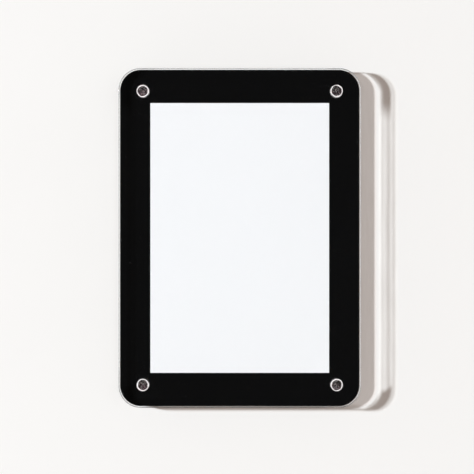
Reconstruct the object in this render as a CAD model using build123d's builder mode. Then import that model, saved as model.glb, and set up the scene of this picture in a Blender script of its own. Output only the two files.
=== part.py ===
"""Magnetic photo frame for a 2 x 3 inch picture, lying on its back.

Two acrylic plates hold the picture card between them: a black one behind, and a clear one in
front that reaches a little past it all round. A magnet is bonded into a blind pocket at each
corner of each plate. The magnets face each other in pairs, so the front plate snaps on over the
card and pulls straight off.

The origin is the centre of the back face. +X is the picture's right, +Y its top, and +Z points
out of the picture. All sizes are in millimetres.
"""

import os

from build123d import *

# Picture card
card_width = 50.5
card_height = 76.2
card_thickness = 0.25
card_clearance = 0.05

# Plates. The front one reaches past the back one by the overhang, all round.
side_border = 8.8
end_border = 9.65
corner_radius = 6.0
back_thickness = 6.0
front_thickness = 6.0
front_overhang = 0.25
outer_bevel = 0.06
mating_bevel = 0.06

# Magnets, with their centres measured in from the front plate's edges
magnet_side_inset = 6.75
magnet_end_inset = 6.35
magnet_radius = 1.5
magnet_length = 4.0
magnet_edge_bevel = 0.08
magnet_recess = 0.05

# Adhesive that holds each magnet in its pocket, and the pocket's mouth
collar_wall = 0.2
bed_thickness = 0.15
collar_sag = 0.1
bond_clearance = 0.02
mouth_bevel = 0.05

# Sizes worked out from the ones above
plate_width = card_width + 2 * side_border
plate_height = card_height + 2 * end_border
front_level = back_thickness + card_thickness + card_clearance
collar_inner_radius = magnet_radius + bond_clearance
collar_outer_radius = collar_inner_radius + collar_wall
pocket_radius = collar_outer_radius + bond_clearance
magnet_seat = magnet_recess + magnet_length + bond_clearance
pocket_depth = magnet_seat + bed_thickness + bond_clearance
magnet_x = plate_width / 2 - magnet_side_inset
magnet_y = plate_height / 2 - magnet_end_inset
corners = {
    "top_left": (-magnet_x, magnet_y),
    "top_right": (magnet_x, magnet_y),
    "bottom_left": (-magnet_x, -magnet_y),
    "bottom_right": (magnet_x, -magnet_y),
}


def make_plate(label, mating_face, thickness, setback):
    """One plate, whose edge lies inside the frame's outline by the setback. mating_face is the
    plane of the face that meets the other plate. Its normal points out of the plate, and the
    pockets are sunk into it."""
    outward = Axis(mating_face.origin, mating_face.z_dir)
    with BuildPart() as plate:
        with BuildSketch(mating_face):
            RectangleRounded(
                plate_width - 2 * setback,
                plate_height - 2 * setback,
                corner_radius - setback,
            )
        extrude(amount=-thickness)
        chamfer(plate.faces().sort_by(outward).first.edges(), length=outer_bevel)
        chamfer(plate.faces().sort_by(outward).last.edges(), length=mating_bevel)
        with Locations([mating_face * Pos(*place) for place in corners.values()]):
            CounterSinkHole(
                radius=pocket_radius,
                counter_sink_radius=pocket_radius + mouth_bevel,
                depth=pocket_depth,
                counter_sink_angle=90,
            )
    plate.part.label = label
    return plate.part


def make_magnet(label, mouth):
    """One disc magnet with bevelled edges, a little below the mouth of its pocket."""
    with BuildPart() as magnet:
        with BuildSketch(mouth.offset(-magnet_recess)):
            Circle(magnet_radius)
        extrude(amount=-magnet_length)
        chamfer(magnet.edges().filter_by(GeomType.CIRCLE), length=magnet_edge_bevel)
    magnet.part.label = label
    return magnet.part


def make_adhesive(label, mouth):
    """The cup of clear adhesive that holds one magnet: a bed under it, and a collar round it
    whose free edge sags between the magnet and the pocket's wall."""
    collar_top = -magnet_recess - magnet_edge_bevel
    collar_middle_radius = (collar_inner_radius + collar_outer_radius) / 2
    bed_bottom = -magnet_seat - bed_thickness
    with BuildPart() as adhesive:
        with BuildSketch(Plane(origin=mouth.origin, x_dir=mouth.x_dir, z_dir=-mouth.y_dir)):
            with BuildLine():
                Polyline(
                    (collar_inner_radius, collar_top),
                    (collar_inner_radius, -magnet_seat),
                    (0, -magnet_seat),
                    (0, bed_bottom),
                    (collar_outer_radius, bed_bottom),
                    (collar_outer_radius, collar_top),
                    (collar_middle_radius, collar_top - collar_sag),
                    close=True,
                )
            make_face()
        revolve(axis=Axis(mouth.origin, mouth.z_dir))
    adhesive.part.label = label
    return adhesive.part


# Faces where the plates meet, with the card between them
back_mating_face = Plane.XY.offset(back_thickness)
front_mating_face = Plane(origin=(0, 0, front_level), x_dir=(1, 0, 0), z_dir=(0, 0, -1))

# Plates, black behind and clear in front
pieces = [
    make_plate("back_plate", back_mating_face, back_thickness, front_overhang),
    make_plate("front_plate", front_mating_face, front_thickness, 0),
]

# Picture card, lying on the back plate between the magnets
with BuildPart() as card:
    with BuildSketch(back_mating_face):
        Rectangle(card_width, card_height)
    extrude(amount=card_thickness)
card.part.label = "photo_card"
pieces.append(card.part)

# A magnet and its adhesive in every pocket of both plates
for layer, mating_face in (("back", back_mating_face), ("front", front_mating_face)):
    for corner, place in corners.items():
        mouth = Plane(
            origin=(*place, mating_face.origin.Z),
            x_dir=mating_face.x_dir,
            z_dir=mating_face.z_dir,
        )
        pieces.append(make_magnet(f"{layer}_magnet_{corner}", mouth))
        pieces.append(make_adhesive(f"{layer}_adhesive_{corner}", mouth))

os.makedirs("parts", exist_ok=True)
for piece in pieces:
    export_step(piece, f"parts/{piece.label}.step")
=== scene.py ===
import math

import bpy
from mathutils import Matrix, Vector
from mathutils.geometry import tessellate_polygon


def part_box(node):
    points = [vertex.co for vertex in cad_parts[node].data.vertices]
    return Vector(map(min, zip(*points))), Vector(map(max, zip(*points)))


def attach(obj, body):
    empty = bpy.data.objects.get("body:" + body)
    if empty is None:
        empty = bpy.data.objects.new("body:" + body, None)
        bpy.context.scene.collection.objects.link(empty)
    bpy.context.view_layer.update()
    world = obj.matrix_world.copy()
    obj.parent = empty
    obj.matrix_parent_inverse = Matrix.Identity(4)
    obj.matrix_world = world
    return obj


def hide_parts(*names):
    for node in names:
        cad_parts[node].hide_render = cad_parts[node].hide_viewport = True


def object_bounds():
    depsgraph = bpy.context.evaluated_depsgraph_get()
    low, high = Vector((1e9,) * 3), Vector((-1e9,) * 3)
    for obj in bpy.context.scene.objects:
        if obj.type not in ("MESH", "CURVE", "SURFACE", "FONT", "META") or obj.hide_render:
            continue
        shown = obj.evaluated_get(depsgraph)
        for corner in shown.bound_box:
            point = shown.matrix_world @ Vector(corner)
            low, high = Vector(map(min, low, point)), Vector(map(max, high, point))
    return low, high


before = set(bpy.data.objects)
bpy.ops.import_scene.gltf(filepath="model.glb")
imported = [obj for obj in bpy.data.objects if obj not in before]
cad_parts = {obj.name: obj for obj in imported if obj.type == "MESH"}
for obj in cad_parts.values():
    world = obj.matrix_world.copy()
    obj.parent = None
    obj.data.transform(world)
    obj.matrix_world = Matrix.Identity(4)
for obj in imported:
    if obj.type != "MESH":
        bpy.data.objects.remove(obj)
cad_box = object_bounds()

# The frame lies on its back, seen from straight above. All lengths are in metres.
back_low, back_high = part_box("back_plate")
front_low, front_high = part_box("front_plate")
magnet_low, magnet_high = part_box("front_magnet_top_right")
magnet_x = (magnet_low.x + magnet_high.x) / 2
magnet_y = (magnet_low.y + magnet_high.y) / 2
adhesive_low, adhesive_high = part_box("front_adhesive_top_right")
bond_clearance = 0.00002
pocket_radius = (adhesive_high.x - adhesive_low.x) / 2 + bond_clearance
pocket_depth = adhesive_high.z - front_low.z + bond_clearance
pocket_reach = pocket_radius * 1.1
pocket_surround = (pocket_reach, pocket_reach * 1.05)

# The plates' corners and edges, with finer bevels than the CAD's
clear_corner_radius = 0.00615
mating_bevel = 0.000045
outer_rounding = 0.00003
mouth_bevel = 0.00005
corner_steps = 20
rounding_steps = 6
circle_steps = 48

# Camera, from the photograph
image_width_px = 474
card_px_per_m = 3541
camera_height = 0.900
card_depth_seen = 0.004
camera_x = -0.00077
camera_y = 0.00027
camera_reach = 20
sensor_width = 36

# Light, from the shadow that the frame casts
key_place = (-1.10, 0.15, 1.30)
key_power = 39.35
key_colour = (0.905, 0.966, 1.0)
key_radius = 0.0373
ceiling_energy = 0.532
ceiling_colour = (1.0, 0.67, 0.49)
ceiling_angle = math.radians(12)
fill_energy = 0.29
fill_colour = (0.9, 1.0, 1.05)
fill_angle = math.radians(22)
fill_tilt = math.radians(14)

# Room round the frame, as how high above the horizon and a colour. It shows in the gloss.
room_shades = (
    (0.0, (0.62, 0.61, 0.60)),
    (0.2, (0.35, 0.33, 0.32)),
    (0.45, (0.10, 0.09, 0.085)),
    (0.85, (0.07, 0.065, 0.06)),
    (0.965, (0.012, 0.012, 0.012)),
)
backdrop = (0.92, 0.91, 0.9, 1)
floor_half = 2.5

# What the clear plate's walls let through of the lamps' light, by height as a share of the
# wall. The real plate bends the light into such bands.
wall_focus = 1.15
wall_bands = (
    (0.0, 1.0),
    (0.05, 1.04),
    (0.1, 0.94),
    (0.2, 0.66),
    (0.3, 0.75),
    (0.38, 0.68),
    (0.53, 0.45),
    (0.7, 0.74),
    (0.8, 0.52),
    (1.0, 0.55),
)

# Where that light changes along the walls. Each is a pair of places between which it turns.
top_shade = (0.0335, 0.0400)
bottom_shade = (-0.0414, -0.0433)
bottom_shade_slant = -0.002
right_end_x = (0.029, 0.031)
right_end_y = (0.0420, 0.0465)
bottom_wall_x = (0.026, 0.031)
bottom_wall_y = (-0.0472, -0.0475)

# Finish of the edges, discs and adhesive. The frost on the right-hand bevels and the two tones across
# the discs are painted light.
frosted_bevel_x = (0.026, 0.033)
wall_roughness = (0.02, 0.09)
bevel_roughness = 0.08
# How far from each disc's middle the shade painted across it turns
disc_shading = 0.0006
collar_inside = (0.00141, 0.00146)
collar_outside = (0.00165, 0.00171)


# Node helpers
def new_tree(name):
    """A material with an empty node tree, its tree and its output's surface socket."""
    material = bpy.data.materials.new(name)
    material.use_nodes = True
    tree = material.node_tree
    tree.nodes.clear()
    output = tree.nodes.new("ShaderNodeOutputMaterial")
    return material, tree, output.inputs["Surface"]


def add(tree, kind, inputs=(), **settings):
    """A node with its settings, and with its inputs linked or set."""
    node = tree.nodes.new("ShaderNode" + kind)
    for key, value in settings.items():
        setattr(node, key, value)
    for key, value in dict(inputs).items():
        if isinstance(value, bpy.types.NodeSocket):
            tree.links.new(value, node.inputs[key])
        else:
            node.inputs[key].default_value = value
    return node


def maths(tree, operation, *values, clamp=False):
    """The output of a Math node."""
    return add(tree, "Math", dict(enumerate(values)), operation=operation, use_clamp=clamp).outputs[0]


def ranged(tree, value, low, high, to_low=0.0, to_high=1.0, smooth=False):
    """value taken from one range to another and held there."""
    node = add(
        tree,
        "MapRange",
        {"Value": value, "From Min": low, "From Max": high, "To Min": to_low, "To Max": to_high},
        interpolation_type="SMOOTHSTEP" if smooth else "LINEAR",
    )
    return node.outputs["Result"]


def place(tree):
    """Where a point is on the piece, as a vector and its three parts."""
    vector = add(tree, "TexCoord").outputs["Object"]
    parts = add(tree, "SeparateXYZ", {0: vector}).outputs
    return vector, parts["X"], parts["Y"], parts["Z"]


def stretched(tree, vector, scale):
    """vector scaled along each axis, for a pattern that runs one way."""
    return add(tree, "VectorMath", {0: vector, 1: scale}, operation="MULTIPLY").outputs[0]


def noise(tree, vector, scale, detail=2.0, roughness=0.5):
    """Noise from 0 to 1, with scale cells to the metre."""
    node = add(
        tree, "TexNoise", {"Vector": vector, "Scale": scale, "Detail": detail, "Roughness": roughness}
    )
    return node.outputs["Fac"]


def bumped(tree, height, distance):
    """The normal of a surface that height raises by up to distance."""
    return add(tree, "Bump", {"Height": height, "Distance": distance}).outputs["Normal"]


def mixed(tree, share, first, second):
    """The first colour, which turns to the second as share goes from 0 to 1."""
    node = add(tree, "Mix", {"Factor": share, "A": first, "B": second}, data_type="RGBA")
    return node.outputs["Result"]


def ramp(tree, value, stops, interpolation="LINEAR"):
    """The colour that the stops give for value."""
    node = add(tree, "ValToRGB", {"Fac": value})
    node.color_ramp.interpolation = interpolation
    elements = node.color_ramp.elements
    for position, colour in stops:
        elements.new(position).color = (*colour, 1)
    elements.remove(elements[0])
    elements.remove(elements[-1])
    return node.outputs["Color"]


def dress(node_names, material):
    """Puts the material in the slots of CAD nodes."""
    for name in node_names:
        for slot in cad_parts[name].material_slots:
            slot.material = material


def upward_share(tree):
    """How far a face turns from upright, 0 on a wall and 1 on a level face, and the three parts
    of its normal."""
    normal = add(tree, "NewGeometry").outputs["True Normal"]
    parts = add(tree, "SeparateXYZ", {0: normal}).outputs
    return maths(tree, "ABSOLUTE", parts["Z"]), parts


def bevel_mask(tree, upward):
    """1 on the sloped bevels, 0 on walls and level faces."""
    return maths(
        tree,
        "MULTIPLY",
        ranged(tree, upward, 0.35, 0.5),
        ranged(tree, upward, 0.85, 0.95, 1.0, 0.0),
    )


def magnet_radius(tree, x, y):
    """How far a point is from the axis of the nearest pair of magnets."""
    across = maths(tree, "SUBTRACT", maths(tree, "ABSOLUTE", x), magnet_x)
    along = maths(tree, "SUBTRACT", maths(tree, "ABSOLUTE", y), magnet_y)
    return maths(
        tree, "SQRT", maths(tree, "MULTIPLY_ADD", across, across, maths(tree, "MULTIPLY", along, along))
    )


def lets_lamps_through(tree, seen, share, tint=(1, 1, 1)):
    """The shader, with share of a lamp's light passing through it in the tint."""
    parts = {i: maths(tree, "MULTIPLY", share, part) for i, part in enumerate(tint)}
    through = add(tree, "BsdfTransparent", {"Color": add(tree, "CombineColor", parts).outputs[0]})
    path = add(tree, "LightPath").outputs
    shader = add(tree, "MixShader", {0: path["Is Shadow Ray"], 1: seen, 2: through.outputs[0]})
    return shader.outputs[0]


# Materials
def black_acrylic():
    material, tree, surface = new_tree("black_acrylic")
    vector, x, y, z = place(tree)
    upward, normal = upward_share(tree)
    bevels = bevel_mask(tree, upward)
    haze = noise(tree, vector, 55, detail=3)
    dust = noise(tree, vector, 2600, detail=2)
    specks = ranged(tree, dust, 0.72, 0.78)
    wall_lines = noise(tree, stretched(tree, vector, (1, 1, 60)), 90, detail=3)
    polish = ranged(tree, haze, 0.35, 0.65, 0.035, 0.075)
    wall_share = ranged(tree, upward, 0.2, 0.35, 1.0, 0.0)
    wall_polish = ranged(tree, wall_lines, 0.3, 0.7, -0.02, 0.03)
    roughness = maths(tree, "MULTIPLY_ADD", wall_share, wall_polish, polish)
    roughness = maths(tree, "MULTIPLY_ADD", bevels, 0.22, roughness)
    shader = add(
        tree,
        "BsdfPrincipled",
        {
            "Base Color": mixed(tree, specks, (0.0032, 0.0032, 0.0034, 1), (0.02, 0.02, 0.02, 1)),
            "Roughness": roughness,
            "IOR": 1.49,
            "Normal": bumped(tree, maths(tree, "MULTIPLY", wall_lines, wall_share), 0.000005),
        },
    )
    # The clear plate guides light down onto the table on the side away from the key. Here the
    # black walls on that side and at the bottom let part of the key through instead. The level
    # faces let all of it in, and the pockets don't stop it.
    away = ranged(tree, normal["X"], 0.1, 0.5)
    height = ranged(tree, z, back_low.z, back_high.z)
    streaks = noise(tree, stretched(tree, vector, (0.05, 0.05, 1)), 2500, detail=1)
    guided = maths(
        tree,
        "ADD",
        ranged(tree, height, 0.84, 0.92, 0.275, 1.0),
        ranged(tree, streaks, 0.3, 0.7, -0.03, 0.03),
    )
    level_share = ranged(tree, upward, 0.95, 0.99)
    pockets = ranged(tree, magnet_radius(tree, x, y), *pocket_surround, 1.0, 0.0)
    share = maths(tree, "MAXIMUM", level_share, maths(tree, "MULTIPLY", away, guided), clamp=True)
    share = maths(tree, "MAXIMUM", share, pockets)
    bottom_share = ranged(tree, normal["Y"], -0.5, -0.9, 0.0, 0.12)
    share = maths(tree, "MAXIMUM", share, bottom_share)
    tree.links.new(lets_lamps_through(tree, shader.outputs[0], share, (1.0, 0.97, 0.96)), surface)
    return material


def clear_acrylic():
    material, tree, surface = new_tree("clear_acrylic")
    vector, x, y, z = place(tree)
    upward, _ = upward_share(tree)
    outside = ranged(tree, magnet_radius(tree, x, y), *pocket_surround)
    bevels = maths(tree, "MULTIPLY", bevel_mask(tree, upward), outside)
    wall_share = maths(tree, "MULTIPLY", ranged(tree, upward, 0.2, 0.35, 1.0, 0.0), outside)
    wall_lines = noise(tree, stretched(tree, vector, (1, 1, 60)), 90, detail=3)
    roughness = maths(tree, "MULTIPLY", wall_share, ranged(tree, wall_lines, 0.3, 0.7, *wall_roughness))
    roughness = maths(tree, "MULTIPLY_ADD", bevels, bevel_roughness, roughness)
    glass = add(
        tree,
        "BsdfPrincipled",
        {
            "Base Color": (0.99, 1.0, 0.995, 1),
            "Roughness": roughness,
            "IOR": 1.49,
            "Transmission Weight": 1.0,
            "Normal": bumped(tree, maths(tree, "MULTIPLY", wall_lines, wall_share), 0.000003),
        },
    )
    # Only the right-hand bevels are frosted white: a painted stand-in for the light that the plate
    # leads out at its right edge
    frost = add(tree, "BsdfDiffuse", {"Color": (0.9, 0.9, 0.9, 1)})
    right_bevel_frost = ranged(tree, x, *frosted_bevel_x)
    seen = add(
        tree,
        "MixShader",
        {0: maths(tree, "MULTIPLY", bevels, right_bevel_frost), 1: glass.outputs[0], 2: frost.outputs[0]},
    )

    # Light through the walls, in bands and streaks that run along them
    height = ranged(tree, z, front_low.z, front_high.z)
    bands = ramp(tree, height, [(level, [light] * 3) for level, light in wall_bands], "EASE")
    streaks = noise(tree, stretched(tree, vector, (0.05, 0.05, 1)), 2200, detail=1)
    streaked = maths(tree, "ADD", bands, ranged(tree, streaks, 0.3, 0.7, -0.05, 0.05))
    streaked = maths(tree, "MULTIPLY", streaked, wall_focus)

    # Dark patches near the right wall's ends, and weaker light at the foot of its corners
    top_turn = ranged(tree, y, *top_shade, smooth=True)
    top_middle = maths(
        tree,
        "MULTIPLY",
        ranged(tree, height, 0.0, 0.3),
        ranged(tree, height, 0.6, 0.73, 1.0, 0.0, smooth=True),
    )
    slanted = maths(tree, "MULTIPLY_ADD", ranged(tree, height, 0.35, 0.75), bottom_shade_slant, y)
    bottom_turn = ranged(tree, slanted, *bottom_shade, smooth=True)
    bottom_middle = maths(
        tree,
        "MULTIPLY",
        ranged(tree, height, 0.08, 0.3, smooth=True),
        ranged(tree, height, 0.6, 0.8, 1.0, 0.0, smooth=True),
    )
    dark = maths(
        tree,
        "MAXIMUM",
        maths(tree, "MULTIPLY", top_turn, top_middle),
        maths(tree, "MULTIPLY", bottom_turn, bottom_middle),
    )
    corner = ranged(tree, dark, 0.0, 1.0, 1.0, 0.05)
    foot = ranged(tree, height, 0.1, 0.25, 1.0, 0.0)
    fading = maths(
        tree,
        "MULTIPLY",
        maths(tree, "MULTIPLY", ranged(tree, x, *right_end_x), foot),
        ranged(tree, maths(tree, "ABSOLUTE", y), *right_end_y, smooth=True),
    )
    ends = ranged(tree, fading, 0.0, 1.0, 1.0, 0.42)
    wall_light = maths(tree, "MULTIPLY", maths(tree, "MULTIPLY", streaked, corner), ends)

    # All of the light gets through the level faces, most of it through the bevels, and more and
    # more of it up the bottom wall
    lamp_light = maths(
        tree, "MULTIPLY_ADD", wall_share, maths(tree, "SUBTRACT", wall_light, 1.0), 1.0
    )
    lamp_light = maths(tree, "MULTIPLY_ADD", bevels, -0.1, lamp_light)
    bottom_light = ranged(tree, height, -0.14, 0.93, smooth=True)
    bottom_edge = maths(
        tree,
        "MULTIPLY",
        ranged(tree, y, *bottom_wall_y),
        ranged(tree, x, *bottom_wall_x, 1.0, 0.0),
    )
    lamp_light = maths(
        tree,
        "MULTIPLY_ADD",
        bottom_edge,
        maths(tree, "SUBTRACT", bottom_light, lamp_light),
        lamp_light,
    )
    lamp_colour = add(
        tree,
        "CombineColor",
        {
            0: lamp_light,
            1: maths(tree, "MULTIPLY", lamp_light, ranged(tree, wall_share, 0.0, 1.0, 1.0, 0.983)),
            2: maths(tree, "MULTIPLY", lamp_light, ranged(tree, wall_share, 0.0, 1.0, 1.0, 0.968)),
        },
    )
    through = add(tree, "BsdfTransparent", {"Color": lamp_colour.outputs[0]})

    # Lamps, and light from matt surfaces, pass straight through
    path = add(tree, "LightPath").outputs
    shader = seen
    for ray in ("Is Diffuse Ray", "Is Shadow Ray"):
        shader = add(tree, "MixShader", {0: path[ray], 1: shader.outputs[0], 2: through.outputs[0]})
    tree.links.new(shader.outputs[0], surface)
    return material


def white_card():
    material, tree, surface = new_tree("white_card")
    vector, *_ = place(tree)
    fibres = noise(tree, vector, 1800, detail=4, roughness=0.6)
    clouds = noise(tree, vector, 60, detail=2)
    shade = maths(tree, "MULTIPLY_ADD", fibres, 0.02, maths(tree, "MULTIPLY", clouds, 0.01))
    shade = ranged(tree, shade, 0.0, 0.03)
    shader = add(
        tree,
        "BsdfPrincipled",
        {
            "Base Color": mixed(tree, shade, (0.945, 0.953, 0.985, 1), (0.965, 0.973, 0.998, 1)),
            "Roughness": ranged(tree, fibres, 0.3, 0.7, 0.42, 0.58),
            "Normal": bumped(tree, fibres, 0.000004),
        },
    )
    tree.links.new(shader.outputs[0], surface)
    return material


def nickel():
    material, tree, surface = new_tree("nickel")
    vector, _, y, _ = place(tree)
    grains = noise(tree, vector, 3200, detail=3, roughness=0.65)
    stains = noise(tree, vector, 2600, detail=2)
    # The metal's colour turns from each disc's lower edge to its upper one: painted shading across the
    # disc
    up_the_disc = maths(
        tree,
        "MULTIPLY",
        maths(tree, "SIGN", y),
        maths(tree, "SUBTRACT", maths(tree, "ABSOLUTE", y), magnet_y),
    )
    painted_shade_share = ranged(tree, up_the_disc, -disc_shading, disc_shading)
    painted_shading_colour = mixed(tree, painted_shade_share, (0.40, 0.22, 0.26, 1), (0.34, 0.27, 0.26, 1))
    clean = ranged(tree, stains, 0.42, 0.6)
    shader = add(
        tree,
        "BsdfPrincipled",
        {
            "Base Color": mixed(tree, clean, (0.03, 0.02, 0.024, 1), painted_shading_colour),
            "Metallic": 1.0,
            "Roughness": ranged(tree, grains, 0.35, 0.65, 0.12, 0.4),
            "Normal": bumped(tree, grains, 0.00006),
        },
    )
    tree.links.new(shader.outputs[0], surface)
    return material


def clear_adhesive():
    material, tree, surface = new_tree("clear_adhesive")
    vector, x, y, _ = place(tree)
    radius = magnet_radius(tree, x, y)
    inner_wobble = maths(tree, "MULTIPLY_ADD", noise(tree, vector, 800, detail=1), 0.0005, -0.00025)
    outer_wobble = maths(tree, "MULTIPLY_ADD", noise(tree, vector, 650, detail=2), 0.0003, -0.00015)
    inner_edge = ranged(tree, maths(tree, "ADD", radius, inner_wobble), *collar_inside)
    outer_edge = ranged(tree, maths(tree, "ADD", radius, outer_wobble), *collar_outside, 1.0, 0.0)
    collar = maths(tree, "MULTIPLY", inner_edge, outer_edge)
    bubbles = noise(tree, vector, 3800, detail=2)
    specks = maths(tree, "MULTIPLY", ranged(tree, bubbles, 0.61, 0.67), 0.4)
    cloud = maths(tree, "MAXIMUM", collar, specks)
    white = add(
        tree,
        "BsdfPrincipled",
        {
            "Base Color": (0.99, 0.94, 0.95, 1),
            "Roughness": ranged(tree, bubbles, 0.3, 0.7, 0.15, 0.4),
            "Normal": bumped(tree, bubbles, 0.00003),
        },
    )
    clear = add(tree, "BsdfTransparent", {"Color": (0.93, 0.93, 0.92, 1)})
    shader = add(tree, "MixShader", {0: cloud, 1: clear.outputs[0], 2: white.outputs[0]})
    tree.links.new(shader.outputs[0], surface)
    return material


def table_top():
    material, tree, surface = new_tree("table_top")
    vector, *_ = place(tree)
    grain = noise(tree, vector, 240, detail=4)
    clouds = noise(tree, vector, 40, detail=3)
    shader = add(
        tree,
        "BsdfPrincipled",
        {
            "Base Color": mixed(tree, clouds, (0.894, 0.887, 0.877, 1), (0.906, 0.899, 0.888, 1)),
            "Roughness": 0.85,
            "Specular IOR Level": 0.2,
            "Normal": bumped(tree, grain, 0.00004),
        },
    )
    tree.links.new(shader.outputs[0], surface)
    return material


# Plates
class Surface:
    """A mesh in the making, with a normal for each corner of each face."""

    def __init__(self):
        self.points, self.faces, self.normals = [], [], []

    def ring(self, points):
        """Adds the points and gives their numbers."""
        start = len(self.points)
        self.points += points
        return list(range(start, len(self.points)))

    def face(self, corners, normals):
        self.faces.append(corners)
        self.normals += normals

    def strip(self, lower, upper, lower_normals, upper_normals):
        """Faces between two rings that run anticlockwise seen from above, facing outwards."""
        for this in range(len(lower)):
            after = (this + 1) % len(lower)
            self.face(
                [lower[this], lower[after], upper[after], upper[this]],
                [lower_normals[this], lower_normals[after], upper_normals[after], upper_normals[this]],
            )

    def flipped(self):
        """Turns every face over."""
        normals = iter(self.normals)
        turned = []
        for corners in self.faces:
            turned += [next(normals) for _ in corners][::-1]
            corners.reverse()
        self.normals = turned

    def made(self, name, material, body, node, slot):
        mesh = bpy.data.meshes.new(name)
        mesh.from_pydata(self.points, [], self.faces)
        mesh.shade_smooth()
        mesh.normals_split_custom_set(self.normals)
        mesh.materials.append(material)
        piece = bpy.data.objects.new(name, mesh)
        bpy.context.scene.collection.objects.link(piece)
        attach(piece, body)
        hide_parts(node)
        return piece


up = Vector((0, 0, 1))


def circle(centre, radius, height):
    """Points round a circle and their directions from its centre."""
    directions = [
        Vector((math.cos(turn), math.sin(turn), 0))
        for turn in (2 * math.pi * step / circle_steps for step in range(circle_steps))
    ]
    return [Vector((*centre, height)) + radius * d for d in directions], directions


def leaning(directions, slope):
    """Level directions turned upwards by the slope, in degrees."""
    turn = math.radians(slope)
    return [math.cos(turn) * d + math.sin(turn) * up for d in directions]


def plate_outline(half_width, half_height, inset, height):
    """Points round the plate, drawn in by inset, and their directions out of it. Its corners and
    the clear plate's are arcs of the same centres."""
    points, directions = [], []
    corner_radius = clear_corner_radius - (front_high.x - half_width)
    for quarter, (sign_x, sign_y) in enumerate(((1, 1), (-1, 1), (-1, -1), (1, -1))):
        centre = Vector(
            (sign_x * (half_width - corner_radius), sign_y * (half_height - corner_radius), height)
        )
        for step in range(corner_steps + 1):
            turn = (quarter + step / corner_steps) * math.pi / 2
            direction = Vector((math.cos(turn), math.sin(turn), 0))
            points.append(centre + (corner_radius - inset) * direction)
            directions.append(direction)
    return points, directions


def plate(name, node, material, body, slot, mating_up):
    """A plate with rounded edges and four blind pockets in its mating face. It is drawn with that
    face down, and turned over where mating_up says so."""
    low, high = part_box(node)
    half_width, half_height = (high.x - low.x) / 2, (high.y - low.y) / 2
    thickness = high.z - low.z
    surface = Surface()

    # Edge, from the mating face's bevel and the wall to the rounding of the outer face. Each step
    # has its height, how far it is drawn in, and the slope of the surface below and above it.
    profile = [
        (0, mating_bevel, -90, -45),
        (mating_bevel, 0, -45, 0),
    ]
    for step in range(rounding_steps + 1):
        slope = 90 * step / rounding_steps
        turn = math.radians(slope)
        height = thickness - outer_rounding * (1 - math.sin(turn))
        profile.append((height, outer_rounding * (1 - math.cos(turn)), slope, slope))
    rings = []
    for height, inset, below, above in profile:
        points, directions = plate_outline(half_width, half_height, inset, height)
        rings.append((surface.ring(points), leaning(directions, below), leaning(directions, above)))
    for lower, upper in zip(rings, rings[1:]):
        surface.strip(lower[0], upper[0], lower[2], upper[1])
    outer_ring = rings[-1][0]
    surface.face(list(outer_ring), [up] * len(outer_ring))

    # Pockets, each with a small bevel at its mouth
    mouths = []
    for sign_x in (-1, 1):
        for sign_y in (-1, 1):
            centre = (sign_x * magnet_x, sign_y * magnet_y)
            mouth_points, directions = circle(centre, pocket_radius + mouth_bevel, 0)
            neck_points, _ = circle(centre, pocket_radius, mouth_bevel)
            floor_points, _ = circle(centre, pocket_radius, pocket_depth)
            inward = [-d for d in directions]
            sloped = [(-d - up).normalized() for d in directions]
            mouth, neck, floor = [surface.ring(p) for p in (mouth_points, neck_points, floor_points)]
            surface.strip(mouth[::-1], neck[::-1], sloped[::-1], sloped[::-1])
            surface.strip(neck[::-1], floor[::-1], inward[::-1], inward[::-1])
            surface.face(floor[::-1], [-up] * len(floor))
            mouths.append(mouth)

    # Mating face, with the pockets' mouths left open
    mating_ring = rings[0][0]
    loops = [mating_ring, *mouths]
    numbers = [number for loop in loops for number in loop]
    filled = tessellate_polygon([[surface.points[number] for number in loop] for loop in loops])
    for triangle in filled:
        corners = [numbers[index] for index in triangle]
        first, second, third = [surface.points[corner] for corner in corners]
        if (second - first).cross(third - first).z > 0:
            corners.reverse()
        surface.face(corners, [-up] * len(corners))

    if mating_up:
        surface.points = [Vector((p.x, p.y, high.z - p.z)) for p in surface.points]
        surface.normals = [Vector((n.x, n.y, -n.z)) for n in surface.normals]
        surface.flipped()
    else:
        surface.points = [Vector((p.x, p.y, low.z + p.z)) for p in surface.points]
    return surface.made(name, material, body, node, slot)


plate("black_back", "back_plate", black_acrylic(), "back", "black_acrylic", mating_up=True)
plate("clear_front", "front_plate", clear_acrylic(), "front", "clear_acrylic", mating_up=False)


# The other CAD nodes keep their shapes and get their finishes. The magnets and their adhesive
# cast no shadow, because none shows in the light that the plates throw on the table.
def nodes_with(word):
    return [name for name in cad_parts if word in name]


dress(["photo_card"], white_card())
dress(nodes_with("magnet"), nickel())
dress(nodes_with("adhesive"), clear_adhesive())
for name in nodes_with("magnet") + nodes_with("adhesive"):
    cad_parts[name].visible_shadow = False


# Floor
floor_corners = [
    (sign_x * floor_half, sign_y * floor_half, 0)
    for sign_x, sign_y in ((-1, -1), (1, -1), (1, 1), (-1, 1))
]
floor_mesh = bpy.data.meshes.new("floor")
floor_mesh.from_pydata(floor_corners, [], [(0, 1, 2, 3)])
floor = bpy.data.objects.new("floor", floor_mesh)
floor.location.z = cad_box[0].z
floor_mesh.materials.append(table_top())
bpy.context.scene.collection.objects.link(floor)


# Lights
def lamp(name, kind, energy, colour):
    """A lamp of the kind, and its data."""
    light = bpy.data.lights.new(name, kind)
    light.energy = energy
    light.color = colour
    made = bpy.data.objects.new(name, light)
    bpy.context.scene.collection.objects.link(made)
    return made, light


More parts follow.
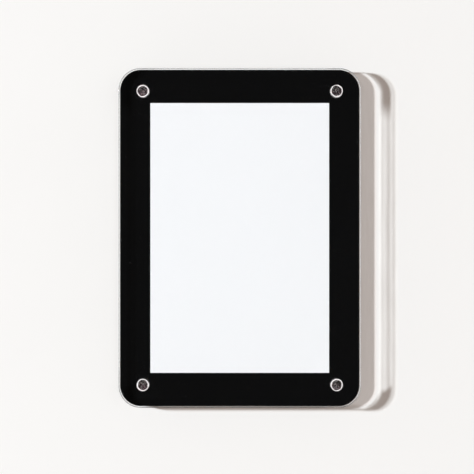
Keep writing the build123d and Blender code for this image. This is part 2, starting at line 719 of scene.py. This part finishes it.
# The key is near enough for the frame's shadow to spread, and lights the floor evenly
key, key_light = lamp("key", "POINT", key_power, key_colour)
key.location = key_place
key_light.shadow_soft_size = key_radius
key_light.use_nodes = True
key_tree = key_light.node_tree
key_tree.nodes.clear()
even = add(key_tree, "LightFalloff", {"Strength": 1.0}).outputs["Constant"]
glow = add(key_tree, "Emission", {"Strength": even})
add(key_tree, "OutputLight", {"Surface": glow.outputs[0]})

# The light from the ceiling is too wide and weak to show in the gloss
ceiling, ceiling_light = lamp("ceiling", "SUN", ceiling_energy, ceiling_colour)
ceiling_light.angle = ceiling_angle
ceiling.visible_glossy = False
ceiling.visible_transmission = False

# A wide light on the right shades the floor beside the frame's left edge
fill, fill_light = lamp("fill", "SUN", fill_energy, fill_colour)
fill.rotation_euler = (0, fill_tilt, 0)
fill_light.angle = fill_angle
fill.visible_glossy = False
fill.visible_transmission = False

# The room, which is pale low down, but for the side behind the picture's top
world = bpy.data.worlds.new("room")
bpy.context.scene.world = world
world.use_nodes = True
world_tree = world.node_tree
background = world_tree.nodes["Background"]
direction = add(world_tree, "TexCoord").outputs["Generated"]
toward = add(world_tree, "SeparateXYZ", {0: direction}).outputs
low = ranged(world_tree, toward["Z"], 0.14, 0.3, 1.0, 0.0)
around = ranged(world_tree, toward["Y"], 0.2, 0.7, 0.85, 0.1)
lit = mixed(world_tree, low, ramp(world_tree, toward["Z"], room_shades), around)
camera_ray = add(world_tree, "LightPath").outputs["Is Camera Ray"]
shown = mixed(world_tree, camera_ray, lit, backdrop)
world_tree.links.new(shown, background.inputs["Color"])

# Camera. Through the clear plate the card looks as deep as card_depth_seen.
camera_data = bpy.data.cameras.new("camera")
camera_data.sensor_width = sensor_width
camera_data.lens = sensor_width * (camera_height + card_depth_seen) * card_px_per_m / image_width_px
camera_data.clip_end = camera_reach
camera = bpy.data.objects.new("camera", camera_data)
camera.location = (camera_x, camera_y, front_high.z + camera_height)
bpy.context.scene.collection.objects.link(camera)
bpy.context.scene.camera = camera
bpy.context.scene.view_settings.view_transform = "Standard"
